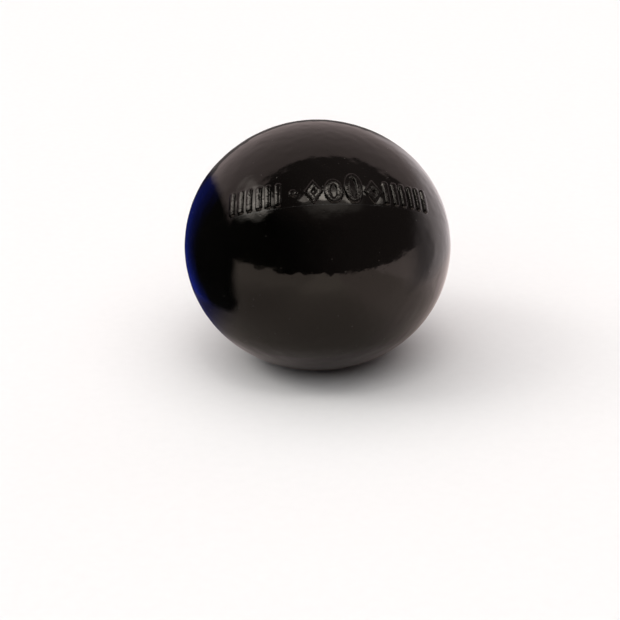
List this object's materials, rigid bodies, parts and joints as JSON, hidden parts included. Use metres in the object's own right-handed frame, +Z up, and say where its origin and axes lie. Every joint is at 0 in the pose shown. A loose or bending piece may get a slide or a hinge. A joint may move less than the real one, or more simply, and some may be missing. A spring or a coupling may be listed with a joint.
{
  "type": "case opening friction ball",
  "caption": "Soft black tacky rubber ball, air filled, with a band of raised marks and a needle valve, pressed on a screwed watch case back to grip and turn it.",
  "frame": {"origin": "centre of the flat that the ball rests on", "axes": "+Z up, +Y the way the mould axis and its valve lean, 39 degrees back from +Z; the raised band shows from -Y"},
  "size_m": [0.065, 0.065, 0.0592],
  "materials": {
    "ball_rubber": "glossy black, slightly tacky, picks up dust",
    "rubber_cement": "cured cement, satin",
    "valve_rubber": "satin black",
    "valve_gum": "soft matt gum rubber"
  },
  "bodies": {
    "root": {"upper_shell": "ball_rubber", "lower_shell": "ball_rubber", "seam_cement": "rubber_cement", "valve_body": "valve_rubber", "valve_insert": "valve_gum", "valve_cement": "rubber_cement"}
  },
  "joints": []
}
